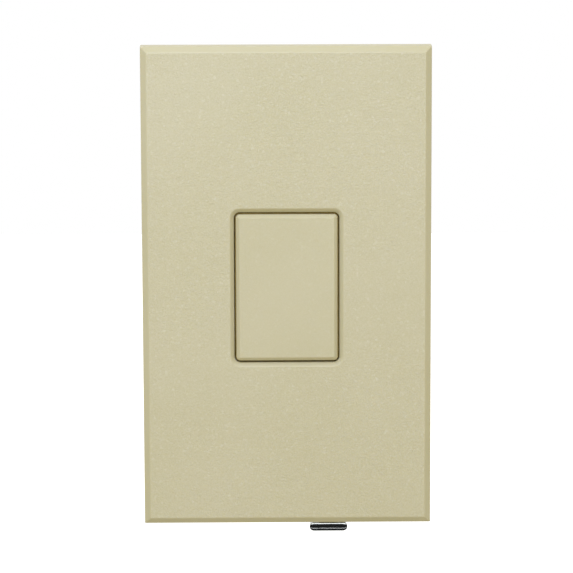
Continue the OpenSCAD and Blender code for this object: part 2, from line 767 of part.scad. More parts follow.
module triac_rivet() {
    back = mica_back + triac_tab_t;
    color("silver") {
        rod_y(triac_x, triac_z, triac_rivet_head_d, yoke_front - 0.8, yoke_front);
        rod_y(triac_x, triac_z, triac_rivet_d, yoke_front - 0.4, back + 0.3);
        rod_y(triac_x, triac_z, triac_rivet_head_d, back, back + 0.7);
    }
}

module choke_core() {
    color("dimgray") translate([choke_at[0], choke_y, choke_at[1]]) rotate([90, 0, 0])
        rotate_extrude() translate([choke_ring_r, 0]) circle(choke_core_r);
}

module choke_winding() {
    loop_r = choke_core_r + choke_wire / 2 + 0.05;
    color("orangered") {
        translate([choke_at[0], choke_y, choke_at[1]]) for (k = [0 : choke_turns - 1])
            rotate([0, 360 / choke_turns * (k + 0.5), 0]) translate([choke_ring_r, 0, 0])
                rotate_extrude() translate([loop_r, 0]) circle(d = choke_wire);
        for (p = choke_pins) rod_y(p[0], p[1], choke_wire, board_y + loose_gap, choke_y);
    }
}

// A boxed capacitor on two pins
module boxed_part(at, size, pins) {
    base = board_back + 0.2;
    translate([at[0], 0, at[1]]) slab(base, base + size[1]) round_rect(size[0], size[2], 0.5);
    for (p = pins) rod_y(p[0], p[1], pin_d, board_y + loose_gap, base + overlap);
}

module film_capacitor() {
    color("gold") boxed_part(film_at, film_size, film_pins);
}

module timing_capacitor() {
    color("firebrick") boxed_part(timing_at, timing_size, timing_pins);
}

// A part with a round body along X and two leads bent down into the board
module axial_part(z, d, l) {
    y = board_back + d / 2 + 0.3;
    lead = 0.6;
    rod_x(resistor_x - l / 2, resistor_x + l / 2, y, z, d);
    for (s = [-1, 1]) {
        x = resistor_x + s * lead_half;
        rod_x(min(resistor_x, x), max(resistor_x, x), y, z, lead);
        rod_y(x, z, lead, board_y + loose_gap, y);
        translate([x, y, z]) sphere(d = lead);
    }
}

module resistors() {
    color("burlywood") for (z = resistor_z) axial_part(z, resistor_d, resistor_l);
}

module diac() {
    color("steelblue") axial_part(diac_z, diac_d, diac_l);
}

// ---- Rear housing and terminals ----

module terminal_plates() {
    color("gold") for (s = [-1, 1]) difference() {
        union() {
            block([pocket_x, pocket_x + terminal_t], terminal_y, [s * pocket_z - terminal_half, s * pocket_z + terminal_half]);
            block([board_right - 2.5, pocket_x + overlap], [tail_y, tail_y + terminal_t], [s * pocket_z - tail_half, s * pocket_z + tail_half]);
        }
        rod_x(pocket_x - 1, pocket_x + 3, terminal_screw_y, s * pocket_z, terminal_screw_d + 2 * push_gap);
    }
}

module terminal_screws() {
    head_x = pocket_x + terminal_t + wire_gap;
    color("gold") for (s = [-1, 1]) {
        translate([head_x, terminal_screw_y, s * pocket_z]) rotate([0, 90, 0]) pan_head(terminal_head_d, terminal_head_h, 1);
        rod_x(pocket_x - housing_wall - 1.6, head_x + overlap, terminal_screw_y, s * pocket_z, terminal_screw_d);
    }
}

module insulating_sheet() {
    color("wheat") block([board_left, board_right], [housing_in_back - 0.4, housing_in_back],
        [-housing_in_h / 2 + post_w + 0.4, housing_in_h / 2 - post_w - 0.4]);
}

module pocket(grow, back) {
    for (s = [-1, 1]) block([pocket_x - grow, housing_w / 2 + 1 - 2 * grow], [pocket_y - grow, back],
        [s * pocket_z - pocket_half - grow, s * pocket_z + pocket_half + grow]);
}

module rear_housing() {
    corner_x = housing_in_w / 2;
    corner_z = housing_in_h / 2;
    color([0.12, 0.12, 0.13]) difference() {
        union() {
            difference() {
                slab(cover_back, housing_d) round_rect(housing_w, housing_h, housing_r);
                slab(cover_back - 1, housing_in_back) round_rect(housing_in_w, housing_in_h, 0.5);
            }
            for (x = [-1, 1], z = [-1, 1]) translate([x * (corner_x - post_w / 2 + overlap / 2), 0, z * (corner_z - post_w / 2 + overlap / 2)])
                slab(cover_back, housing_in_back + overlap) square(post_w + overlap, center = true);
            intersection() {
                slab(cover_back, housing_d) round_rect(housing_w, housing_h, housing_r);
                pocket(housing_wall, housing_d);
            }
        }
        pocket(0, housing_d + 1);
        for (x = [-1, 1], z = [-1, 1])
            rod_y(x * cover_screw_x, z * cover_screw_z, cover_screw_d + 2 * push_gap, 0, cover_screw_l + 1);
        for (s = [-1, 1]) {
            rod_x(pocket_x - housing_wall - 1, pocket_x + 1, terminal_screw_y, s * pocket_z, terminal_screw_d + 2 * push_gap);
            block([pocket_x - housing_wall - 1, pocket_x + 1], [tail_y - 0.1, tail_y + terminal_t + 0.1],
                [s * pocket_z - tail_half - 0.1, s * pocket_z + tail_half + 0.1]);
        }
    }
}

faceplate();
button();
hinge_pin();
return_springs();
mechanism_cover();
yoke();
box_screws();
screw_retainers();
cover_screws();
guide_rivets();
ground_screw();
slide_knob();
slide_carriage();
pot_case();
pot_slider();
pot_wiper();
pot_track();
pot_pins();
switch_case();
switch_base();
switch_plunger();
plunger_spring();
moving_contact();
fixed_contacts();
circuit_board();
board_screws();
triac();
triac_tab();
triac_insulator();
triac_rivet();
choke_core();
choke_winding();
film_capacitor();
timing_capacitor();
resistors();
diac();
terminal_plates();
terminal_screws();
insulating_sheet();
rear_housing();
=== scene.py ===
"""Wall dimmer in ivory: a press button in a bevelled faceplate, and a lever tip for the level."""
from math import cos, pi, radians, sin, tan

import bpy
from mathutils import Matrix, Vector


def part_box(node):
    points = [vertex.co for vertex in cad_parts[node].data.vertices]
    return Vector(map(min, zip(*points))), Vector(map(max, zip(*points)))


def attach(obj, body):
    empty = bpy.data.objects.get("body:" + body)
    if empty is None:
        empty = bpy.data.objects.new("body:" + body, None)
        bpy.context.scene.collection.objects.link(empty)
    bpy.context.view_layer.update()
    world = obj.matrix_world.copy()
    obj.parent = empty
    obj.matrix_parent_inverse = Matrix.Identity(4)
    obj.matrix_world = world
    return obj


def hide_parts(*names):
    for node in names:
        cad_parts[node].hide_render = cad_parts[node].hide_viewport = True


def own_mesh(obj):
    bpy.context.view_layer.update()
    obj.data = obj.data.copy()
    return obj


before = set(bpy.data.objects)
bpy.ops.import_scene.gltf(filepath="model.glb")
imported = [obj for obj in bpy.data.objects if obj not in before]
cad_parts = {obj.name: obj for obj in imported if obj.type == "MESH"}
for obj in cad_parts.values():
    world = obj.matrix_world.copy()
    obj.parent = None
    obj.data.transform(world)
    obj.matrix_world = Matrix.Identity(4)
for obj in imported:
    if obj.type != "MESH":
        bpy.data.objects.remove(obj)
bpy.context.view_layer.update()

MM = 0.001

# ---------------------------------------------------------------- camera

CAMERA_PLACE = Vector((-4.2, -600.0, 72.8)) * MM
CAMERA_YAW = radians(0.602)
CAMERA_PITCH = radians(7.443)
CAMERA_ROLL = radians(-0.172)
CAMERA_SENSOR = 36.0
CAMERA_LENS = 156.415
CAMERA_SHIFT_X = -0.015445
CAMERA_SHIFT_Y = 0.035515


def add_camera():
    """A long lens, a little above the middle of the plate and looking slightly down."""
    look = Vector((
        sin(CAMERA_YAW) * cos(CAMERA_PITCH),
        cos(CAMERA_YAW) * cos(CAMERA_PITCH),
        -sin(CAMERA_PITCH),
    ))
    level = Vector((cos(CAMERA_YAW), -sin(CAMERA_YAW), 0.0))
    upright = level.cross(look)
    across = cos(CAMERA_ROLL) * level + sin(CAMERA_ROLL) * upright
    up = cos(CAMERA_ROLL) * upright - sin(CAMERA_ROLL) * level
    data = bpy.data.cameras.new("camera")
    data.sensor_width = CAMERA_SENSOR
    data.lens = CAMERA_LENS
    data.shift_x = CAMERA_SHIFT_X
    data.shift_y = CAMERA_SHIFT_Y
    data.clip_start = 0.01
    data.clip_end = 50.0
    camera = bpy.data.objects.new("camera", data)
    bpy.context.scene.collection.objects.link(camera)
    turn = Matrix((across, up, -look)).transposed()
    camera.matrix_world = Matrix.Translation(CAMERA_PLACE) @ turn.to_4x4()
    bpy.context.scene.camera = camera


add_camera()
bpy.context.scene.view_settings.view_transform = "Standard"

# ---------------------------------------------------------------- node helpers


def from_srgb(red, green, blue):
    """Paint values 0 to 255 as the linear colour a socket takes."""
    linear = []
    for level in (red / 255, green / 255, blue / 255):
        linear.append(level / 12.92 if level <= 0.04045 else ((level + 0.055) / 1.055) ** 2.4)
    return (*linear, 1.0)


class Tree:
    """Short ways to add and join nodes in one node tree."""

    def __init__(self, tree):
        self.tree = tree

    def add(self, kind, **settings):
        node = self.tree.nodes.new(kind)
        for key, value in settings.items():
            setattr(node, key, value)
        return node

    def feed(self, socket, value):
        """Joins a socket to another node's output, or sets it to a plain value."""
        if isinstance(value, bpy.types.NodeSocket):
            self.tree.links.new(value, socket)
        else:
            socket.default_value = value

    def math(self, operation, first, second=0.0, clamp=False):
        node = self.add("ShaderNodeMath", operation=operation, use_clamp=clamp)
        self.feed(node.inputs[0], first)
        self.feed(node.inputs[1], second)
        return node.outputs[0]

    def span(self, value, low, high, to_low=0.0, to_high=1.0, smooth=False):
        """Takes low..high to to_low..to_high and stays inside it."""
        node = self.add("ShaderNodeMapRange", interpolation_type="SMOOTHSTEP" if smooth else "LINEAR")
        for place, entry in enumerate((value, low, high, to_low, to_high)):
            self.feed(node.inputs[place], entry)
        return node.outputs[0]

    def blend(self, mask, first, second):
        node = self.add("ShaderNodeMix", data_type="RGBA")
        self.feed(node.inputs["Factor"], mask)
        self.feed(node.inputs[6], first)
        self.feed(node.inputs[7], second)
        return node.outputs[2]

    def noise(self, place, scale, detail=2.0, roughness=0.5):
        node = self.add("ShaderNodeTexNoise")
        self.feed(node.inputs["Vector"], place)
        self.feed(node.inputs["Scale"], scale)
        node.inputs["Detail"].default_value = detail
        node.inputs["Roughness"].default_value = roughness
        return node.outputs["Fac"]

    def cells(self, place, scale, feature="F1", output="Distance"):
        node = self.add("ShaderNodeTexVoronoi", feature=feature)
        self.feed(node.inputs["Vector"], place)
        self.feed(node.inputs["Scale"], scale)
        return node.outputs[output]

    def stretch(self, place, amounts):
        node = self.add("ShaderNodeVectorMath", operation="MULTIPLY")
        self.feed(node.inputs[0], place)
        self.feed(node.inputs[1], amounts)
        return node.outputs[0]

    def normal_part(self, axis):
        """The surface normal's part along X, Y or Z, in the frame's own directions."""
        parts = self.add("ShaderNodeSeparateXYZ")
        self.feed(parts.inputs[0], self.add("ShaderNodeNewGeometry").outputs["Normal"])
        return parts.outputs[axis]

    def use(self, group, **entries):
        """Places a shared group and returns its outputs by name."""
        node = self.add("ShaderNodeGroup")
        node.node_tree = group
        for name, value in entries.items():
            self.feed(node.inputs[name.replace("_", " ")], value)
        return node.outputs


def shared_group(name, entries, results, build):
    """One effect that several finishes use. entries and results map socket names to their defaults."""
    group = bpy.data.node_groups.new(name, "ShaderNodeTree")
    for label, default in entries.items():
        kind = "NodeSocketVector" if default is None else "NodeSocketFloat"
        socket = group.interface.new_socket(name=label, in_out="INPUT", socket_type=kind)
        if default is not None:
            socket.default_value = default
    for label in results:
        group.interface.new_socket(name=label, in_out="OUTPUT", socket_type="NodeSocketFloat")
    tree = Tree(group)
    inside = tree.add("NodeGroupInput").outputs
    outside = tree.add("NodeGroupOutput").inputs
    for label, value in build(tree, inside).items():
        tree.feed(outside[label], value)
    return group


# ---------------------------------------------------------------- shared effects


def build_moulded_grain(tree, given):
    """Spark-eroded mould texture: soft pits with a faint slow change of tone."""
    coarse = tree.noise(given["Place"], given["Scale"], detail=3.0, roughness=0.6)
    pits = tree.cells(given["Place"], tree.math("MULTIPLY", given["Scale"], 0.8))
    slow = tree.noise(given["Place"], tree.math("MULTIPLY", given["Scale"], 0.03), detail=3.0)
    height = tree.math("ADD", coarse, tree.math("MULTIPLY", pits, 0.5))
    tone = tree.math("ADD", tree.math("MULTIPLY", coarse, 0.5), tree.math("MULTIPLY", slow, 0.5))
    return {"Height": height, "Tone": tree.span(tone, 0.35, 0.65)}


def build_sparkle(tree, given):
    """Fine crystalline sparkle: many small facets, and here and there one that catches the light; that
    glint is a painted highlight, given out as a mask of specks.
    """
    facets = tree.cells(given["Place"], given["Scale"], output="Color")
    parts = tree.add("ShaderNodeSeparateXYZ")
    tree.feed(parts.inputs[0], facets)
    painted_glint_mask = tree.span(parts.outputs["X"], tree.math("SUBTRACT", 1.0, given["Share"]), 1.0, smooth=True)
    soft = tree.noise(given["Place"], tree.math("MULTIPLY", given["Scale"], 1.15), detail=2.0)
    tilt = tree.math("MULTIPLY", parts.outputs["Y"], 0.35)
    fine_scale = tree.math("MULTIPLY", given["Scale"], 1.6)
    fine = tree.noise(given["Place"], fine_scale, detail=3.0, roughness=0.65)
    return {"Height": tree.math("ADD", soft, tilt), "PaintedGlint": painted_glint_mask, "Tone": tree.span(fine, 0.4, 0.62)}


def build_edge_wear(tree, given):
    """Finds convex edges, broken up by noise, where a finish rubs thin."""
    rounded = tree.add("ShaderNodeBevel", samples=4)
    tree.feed(rounded.inputs["Radius"], given["Width"])
    plain = tree.add("ShaderNodeNewGeometry").outputs["Normal"]
    dot = tree.add("ShaderNodeVectorMath", operation="DOT_PRODUCT")
    tree.feed(dot.inputs[0], rounded.outputs["Normal"])
    tree.feed(dot.inputs[1], plain)
    edge = tree.span(dot.outputs["Value"], 0.995, 0.86, smooth=True)
    breakup = tree.span(tree.noise(given["Place"], given["Scale"], detail=4.0), 0.35, 0.6)
    return {"Mask": tree.math("MULTIPLY", edge, breakup)}


def build_brushed(tree, given):
    """Fine parallel lines of rolled or brushed stock, long along X."""
    long_place = tree.stretch(given["Place"], (0.03, 1.0, 1.0))
    lines = tree.noise(long_place, given["Scale"], detail=4.0, roughness=0.7)
    broad = tree.noise(long_place, tree.math("MULTIPLY", given["Scale"], 0.12), detail=2.0)
    streak = tree.math("ADD", tree.math("MULTIPLY", lines, 0.6), tree.math("MULTIPLY", broad, 0.4))
    return {"Height": lines, "Streak": streak}


def build_plating(tree, given):
    """Clouds and pin specks of a plated or cast metal skin."""
    cloud = tree.noise(given["Place"], given["Scale"], detail=4.0, roughness=0.55)
    grains = tree.cells(given["Place"], tree.math("MULTIPLY", given["Scale"], 6.0))
    return {"Cloud": tree.span(cloud, 0.3, 0.7), "Height": tree.math("ADD", cloud, grains)}


def build_fibres(tree, given):
    """Crossed fibres of card, laminate and board."""
    one = tree.noise(tree.stretch(given["Place"], (0.15, 1.0, 1.0)), given["Scale"], detail=3.0)
    other = tree.noise(tree.stretch(given["Place"], (1.0, 1.0, 0.15)), given["Scale"], detail=3.0)
    both = tree.math("MULTIPLY", tree.math("ADD", one, other), 0.5)
    return {"Height": both, "Tone": tree.span(both, 0.35, 0.65)}


def build_dust(tree, given):
    """A thin settled film on the faces that look up."""
    up = tree.span(tree.normal_part("Z"), 0.35, 0.95, smooth=True)
    patchy = tree.span(tree.noise(given["Place"], given["Scale"], detail=4.0), 0.35, 0.75)
    return {"Mask": tree.math("MULTIPLY", tree.math("MULTIPLY", up, patchy), given["Amount"])}


MOULDED = shared_group("moulded_grain", {"Place": None, "Scale": 1500.0}, ("Height", "Tone"),
                       build_moulded_grain)
SPARKLE = shared_group("sparkle", {"Place": None, "Scale": 1600.0, "Share": 0.1},
                       ("Height", "PaintedGlint", "Tone"), build_sparkle)
WEAR = shared_group("edge_wear", {"Place": None, "Width": 0.0003, "Scale": 900.0}, ("Mask",),
                    build_edge_wear)
BRUSHED = shared_group("brushed_lines", {"Place": None, "Scale": 4000.0}, ("Height", "Streak"),
                       build_brushed)
PLATING = shared_group("plated_skin", {"Place": None, "Scale": 250.0}, ("Cloud", "Height"), build_plating)
FIBRES = shared_group("crossed_fibres", {"Place": None, "Scale": 1200.0}, ("Height", "Tone"), build_fibres)
DUST = shared_group("settled_dust", {"Place": None, "Scale": 260.0, "Amount": 0.1}, ("Mask",), build_dust)

# ---------------------------------------------------------------- finishes


def new_finish(name, metallic=0.0, coat=0.0, subsurface=0.0, ior=1.5):
    """A material with its shader, ready for the nodes that feed it."""
    material = bpy.data.materials.new(name)
    material.use_nodes = True
    tree = Tree(material.node_tree)
    shader = material.node_tree.nodes["Principled BSDF"]
    shader.inputs["Metallic"].default_value = metallic
    shader.inputs["Coat Weight"].default_value = coat
    shader.inputs["Coat Roughness"].default_value = 0.15
    shader.inputs["Subsurface Weight"].default_value = subsurface
    shader.inputs["Subsurface Radius"].default_value = (1.0, 0.75, 0.35)
    shader.inputs["Subsurface Scale"].default_value = 0.0015
    shader.inputs["IOR"].default_value = ior
    place = tree.add("ShaderNodeTexCoord").outputs["Object"]
    return material, tree, shader, place


def add_bump(tree, shader, height, depth):
    """Feeds a relief of the given depth in metres to the shader's normal."""
    bump = tree.add("ShaderNodeBump")
    bump.inputs["Distance"].default_value = depth
    bump.inputs["Strength"].default_value = 1.0
    tree.feed(bump.inputs["Height"], height)
    tree.feed(shader.inputs["Normal"], bump.outputs["Normal"])


IVORY_DARK = from_srgb(188, 178, 134)
IVORY = from_srgb(191, 181, 139)
IVORY_LIGHT = from_srgb(201, 192, 156)
IVORY_WORN = from_srgb(201, 192, 154)
# Painted highlight: the lighter colour of the glints painted on the sparkle specks of the front face.
IVORY_PAINTED_GLINT = from_srgb(224, 219, 191)
HOUSE_DUST = from_srgb(186, 180, 165)


def ivory(name, grain_depth, grain_tone, painted_glint_strength, grain_scale):
    """Moulded ivory plastic. The front face has a sparkle grain with painted glints, lighter specks that
    stand in for highlights, and the bevels are smooth.
    """
    material, tree, shader, place = new_finish(name, ior=1.46, subsurface=0.12)
    front = tree.span(tree.math("MULTIPLY", tree.normal_part("Y"), -1.0), 0.97, 0.992, smooth=True)
    sparkle = tree.use(SPARKLE, Place=place, Scale=grain_scale, Share=0.10)
    moulded = tree.use(MOULDED, Place=place, Scale=2600.0)
    worn = tree.use(WEAR, Place=place, Width=0.00025, Scale=700.0)
    slow = tree.noise(place, 32.0, detail=3.0)
    colour = tree.blend(tree.span(slow, 0.35, 0.65), IVORY_DARK, IVORY)
    grain_mask = tree.math("MULTIPLY", sparkle["Tone"], front)
    colour = tree.blend(tree.math("MULTIPLY", grain_mask, grain_tone), colour, IVORY_LIGHT)
    # Painted highlight: lighter specks on the front face stand in for facets that catch the light.
    painted_glint_mask = tree.math("MULTIPLY", tree.math("MULTIPLY", sparkle["PaintedGlint"], front), painted_glint_strength)
    colour = tree.blend(painted_glint_mask, colour, IVORY_PAINTED_GLINT)
    colour = tree.blend(tree.math("MULTIPLY", worn["Mask"], 0.35), colour, IVORY_WORN)
    tree.feed(shader.inputs["Base Color"], colour)
    rough = tree.span(tree.math("ADD", moulded["Tone"], front), 0.0, 2.0, 0.42, 0.56)
    tree.feed(shader.inputs["Roughness"], rough)
    fine = tree.math("MULTIPLY", moulded["Height"], 0.12)
    height = tree.math("ADD", tree.math("MULTIPLY", sparkle["Height"], front), fine)
    add_bump(tree, shader, height, grain_depth)
    return material


def moulded_plastic(name, low, high, worn_colour, rough, scale=1800.0, depth=0.00002, coat=0.0, dust=0.1):
    """A moulded plastic skin with rubbed edges and a little dust."""
    material, tree, shader, place = new_finish(name, coat=coat)
    grain = tree.use(MOULDED, Place=place, Scale=scale)
    worn = tree.use(WEAR, Place=place, Width=0.0003, Scale=900.0)
    film = tree.use(DUST, Place=place, Scale=260.0, Amount=dust)
    colour = tree.blend(grain["Tone"], low, high)
    colour = tree.blend(tree.math("MULTIPLY", worn["Mask"], 0.6), colour, worn_colour)
    colour = tree.blend(film["Mask"], colour, HOUSE_DUST)
    tree.feed(shader.inputs["Base Color"], colour)
    rough_low, rough_high = rough
    tree.feed(shader.inputs["Roughness"], tree.span(grain["Tone"], 0.0, 1.0, rough_high, rough_low))
    add_bump(tree, shader, grain["Height"], depth)
    return material


def plated_metal(name, low, high, worn_colour, rough, scale=260.0, depth=0.000004, dust=0.06):
    """Plated or cast metal with clouds in the skin and brighter rubbed edges."""
    material, tree, shader, place = new_finish(name, metallic=1.0)
    skin = tree.use(PLATING, Place=place, Scale=scale)
    worn = tree.use(WEAR, Place=place, Width=0.0002, Scale=1200.0)
    film = tree.use(DUST, Place=place, Scale=300.0, Amount=dust)
    colour = tree.blend(skin["Cloud"], low, high)
    colour = tree.blend(tree.math("MULTIPLY", worn["Mask"], 0.7), colour, worn_colour)
    colour = tree.blend(film["Mask"], colour, HOUSE_DUST)
    tree.feed(shader.inputs["Base Color"], colour)
    rough_low, rough_high = rough
    rubbed = tree.math("MULTIPLY", worn["Mask"], -0.08)
    roughness = tree.math("ADD", tree.span(skin["Cloud"], 0.0, 1.0, rough_low, rough_high), rubbed)
    tree.feed(shader.inputs["Roughness"], roughness)
    add_bump(tree, shader, skin["Height"], depth)
    return material


def drawn_metal(name, low, high, rough, scale=4200.0, depth=0.000006):
    """Rolled, drawn or brushed metal with fine lines."""
    material, tree, shader, place = new_finish(name, metallic=1.0)
    lines = tree.use(BRUSHED, Place=place, Scale=scale)
    worn = tree.use(WEAR, Place=place, Width=0.0002, Scale=1000.0)
    film = tree.use(DUST, Place=place, Scale=240.0, Amount=0.08)
    colour = tree.blend(tree.span(lines["Streak"], 0.35, 0.65), low, high)
    colour = tree.blend(tree.math("MULTIPLY", worn["Mask"], 0.5), colour, high)
    colour = tree.blend(film["Mask"], colour, HOUSE_DUST)
    tree.feed(shader.inputs["Base Color"], colour)
    rough_low, rough_high = rough
    tree.feed(shader.inputs["Roughness"], tree.span(lines["Streak"], 0.3, 0.7, rough_low, rough_high))
    add_bump(tree, shader, lines["Height"], depth)
    return material


def fibre_stock(name, low, high, rough, scale=1200.0, depth=0.00002, coat=0.0):
    """Card, laminate and board, with crossed fibres under the surface."""
    material, tree, shader, place = new_finish(name, coat=coat)
    fibres = tree.use(FIBRES, Place=place, Scale=scale)
    grain = tree.use(MOULDED, Place=place, Scale=1400.0)
    mottle = tree.math("MULTIPLY", tree.math("ADD", fibres["Tone"], grain["Tone"]), 0.5)
    colour = tree.blend(mottle, low, high)
    tree.feed(shader.inputs["Base Color"], colour)
    rough_low, rough_high = rough
    tree.feed(shader.inputs["Roughness"], tree.span(fibres["Tone"], 0.0, 1.0, rough_low, rough_high))
    add_bump(tree, shader, fibres["Height"], depth)
    return material


def glossy_dip(name, low, high, rough, scale=500.0):
    """A dipped or varnished component coat with slow waves under a clear skin."""
    material, tree, shader, place = new_finish(name, coat=0.6)
    skin = tree.use(PLATING, Place=place, Scale=scale)
    grain = tree.use(MOULDED, Place=place, Scale=1600.0)
    mottle = tree.math("MULTIPLY", tree.math("ADD", skin["Cloud"], grain["Tone"]), 0.5)
    colour = tree.blend(mottle, low, high)
    tree.feed(shader.inputs["Base Color"], colour)
    rough_low, rough_high = rough
    tree.feed(shader.inputs["Roughness"], tree.span(skin["Cloud"], 0.0, 1.0, rough_low, rough_high))
    add_bump(tree, shader, skin["Height"], 0.00001)
    return material


def bright_chrome():
    """Polished chrome with hair-fine wiping marks and a little haze."""
    material, tree, shader, place = new_finish("chrome", metallic=1.0)
    lines = tree.use(BRUSHED, Place=place, Scale=9000.0)
    skin = tree.use(PLATING, Place=place, Scale=900.0)
    worn = tree.use(WEAR, Place=place, Width=0.00015, Scale=1500.0)
    colour = tree.blend(skin["Cloud"], from_srgb(176, 180, 182), from_srgb(196, 199, 200))
    colour = tree.blend(tree.math("MULTIPLY", worn["Mask"], 0.4), colour, from_srgb(206, 204, 198))
    tree.feed(shader.inputs["Base Color"], colour)
    wiped = tree.span(lines["Streak"], 0.35, 0.65, 0.07, 0.13)
    haze = tree.math("MULTIPLY", skin["Cloud"], 0.03)
    tree.feed(shader.inputs["Roughness"], tree.math("ADD", wiped, haze))
    add_bump(tree, shader, lines["Height"], 0.0000006)
    return material


FINISHES = {
    "ivory_plastic": ivory("button_ivory", 0.00003, 0.22, 0.06, 2200.0),
    "chrome": bright_chrome(),
    "spring_steel": drawn_metal("spring_steel", from_srgb(150, 150, 152), from_srgb(196, 196, 198),
                                (0.18, 0.3), scale=5200.0),
    "aluminium": drawn_metal("aluminium", from_srgb(188, 189, 190), from_srgb(220, 221, 222), (0.26, 0.42)),
    "zinc_steel": plated_metal("zinc_steel", from_srgb(168, 170, 172), from_srgb(204, 205, 203),
                               from_srgb(226, 226, 222), (0.22, 0.36)),
    "green_screw": plated_metal("green_screw", from_srgb(30, 104, 52), from_srgb(48, 138, 70),
                                from_srgb(150, 190, 150), (0.3, 0.42)),
    "black_plastic": moulded_plastic("black_plastic", from_srgb(24, 24, 25), from_srgb(38, 38, 39),
                                     from_srgb(76, 76, 78), (0.42, 0.58), depth=0.00003, dust=0.16),
    "white_nylon": moulded_plastic("white_nylon", from_srgb(222, 220, 212), from_srgb(236, 235, 229),
                                   from_srgb(244, 243, 240), (0.38, 0.5)),
    "grey_acetal": moulded_plastic("grey_acetal", from_srgb(96, 98, 101), from_srgb(118, 120, 122),
                                   from_srgb(150, 152, 154), (0.32, 0.45)),
    "brass": plated_metal("brass", from_srgb(176, 141, 72), from_srgb(206, 172, 98),
                          from_srgb(228, 200, 136), (0.24, 0.38)),
    "contact_copper": plated_metal("contact_copper", from_srgb(176, 108, 76), from_srgb(206, 138, 100),
                                   from_srgb(226, 170, 136), (0.2, 0.36)),
    "phenolic": fibre_stock("phenolic", from_srgb(96, 62, 36), from_srgb(136, 92, 56), (0.38, 0.52)),
    "circuit_board": fibre_stock("circuit_board", from_srgb(34, 78, 46), from_srgb(52, 104, 62),
                                 (0.3, 0.42), coat=0.4),
    "insulating_card": fibre_stock("insulating_card", from_srgb(126, 96, 70), from_srgb(160, 128, 98),
                                   (0.62, 0.8), depth=0.00004),
    "black_epoxy": moulded_plastic("black_epoxy", from_srgb(26, 26, 28), from_srgb(42, 42, 44),
                                   from_srgb(72, 72, 74), (0.35, 0.5), scale=2400.0),
    "ferrite": moulded_plastic("ferrite", from_srgb(58, 58, 60), from_srgb(82, 82, 84),
                               from_srgb(112, 112, 114), (0.5, 0.7), scale=1200.0, depth=0.00004),
    "enamelled_wire": plated_metal("enamelled_wire", from_srgb(138, 62, 32), from_srgb(178, 92, 50),
                                   from_srgb(206, 128, 84), (0.18, 0.3), scale=600.0),
    "yellow_film": glossy_dip("yellow_film", from_srgb(206, 166, 44), from_srgb(228, 190, 70), (0.25, 0.4)),
    "red_film": glossy_dip("red_film", from_srgb(148, 38, 28), from_srgb(180, 58, 42), (0.25, 0.4)),
    "resistor_tan": glossy_dip("resistor_tan", from_srgb(186, 156, 112), from_srgb(212, 184, 140),
                               (0.3, 0.45)),
    "diac_blue": glossy_dip("diac_blue", from_srgb(54, 84, 148), from_srgb(78, 110, 176), (0.22, 0.36)),
}
PLATE_IVORY = ivory("plate_ivory", 0.00008, 0.45, 0.14, 2000.0)
# Painted shade: a darker, deeper amber than the button's ivory, so that the gap round the button looks
# shaded.
LIP_PAINTED_SHADE = moulded_plastic("lip_painted_shade", from_srgb(180, 152, 70), from_srgb(198, 170, 88),
                            from_srgb(206, 180, 108), (0.5, 0.6), depth=0.00001, dust=0.05)

# ---------------------------------------------------------------- carried-over solids

# Corner points of a solid that lie closer than this are one point. In metres.
WELD_DISTANCE = 0.00002

# Radius in millimetres of the rounded edges of each solid that has them.
EDGE_SOFTENING = {
    "faceplate": 0.2,
    "button": 0.2,
    "mechanism_cover": 0.15,
    "yoke": 0.12,
    "rear_housing": 0.25,
    "slide_carriage": 0.1,
    "box_screws": 0.06,
    "cover_screws": 0.06,
    "ground_screw": 0.06,
    "guide_rivets": 0.05,
    "terminal_screws": 0.08,
    "terminal_plates": 0.06,
    "hinge_pin": 0.06,
}


def soften_edges(solid, width, join_flats):
    """Rounds a solid's sharp edges. join_flats first makes one face of each flat of small faces."""
    weld = solid.modifiers.new("join", "WELD")
    weld.merge_threshold = WELD_DISTANCE
    if join_flats:
        flats = solid.modifiers.new("flats", "DECIMATE")
        flats.decimate_type = "DISSOLVE"
        flats.angle_limit = radians(0.5)
    bevel = solid.modifiers.new("soft_edges", "BEVEL")
    bevel.width = width * MM
    bevel.segments = 3
    bevel.limit_method = "ANGLE"
    bevel.angle_limit = radians(38)
    bevel.use_clamp_overlap = True
    bevel.harden_normals = True


for node_name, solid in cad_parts.items():
    slot_name = solid.data.materials[0].name.split(".")[0]
    solid.material_slots[0].material = PLATE_IVORY if node_name == "faceplate" else FINISHES[slot_name]
    if node_name in EDGE_SOFTENING:
        soften_edges(solid, EDGE_SOFTENING[node_name], join_flats=node_name != "yoke")

# ---------------------------------------------------------------- made pieces


def add_piece(name, vertices, faces, slot_name, body, node_name=None, finish=None):
    """Makes a smooth mesh piece that rides with a body, and may stand for a CAD node."""
    mesh = bpy.data.meshes.new(name)
    mesh.from_pydata(vertices, [], faces)
    mesh.validate()
    for face in mesh.polygons:
        face.use_smooth = True
    piece = bpy.data.objects.new(name, mesh)
    bpy.context.scene.collection.objects.link(piece)
    mesh.materials.append(finish or FINISHES[slot_name])
    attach(piece, body)
    if node_name:
        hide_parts(node_name)
    return piece


def loft(rings):
    """Faces that join rings of equal length in order, with a cap on each end."""
    count = len(rings[0])
    vertices = [point for ring in rings for point in ring]
    faces = []
    for step in range(len(rings) - 1):
        for place in range(count):
            after = (place + 1) % count
            near = step * count
            far = near + count
            faces.append((near + place, near + after, far + after, far + place))
    faces.append(tuple(range(count))[::-1])
    faces.append(tuple(range(len(rings) * count - count, len(rings) * count)))
    return vertices, faces


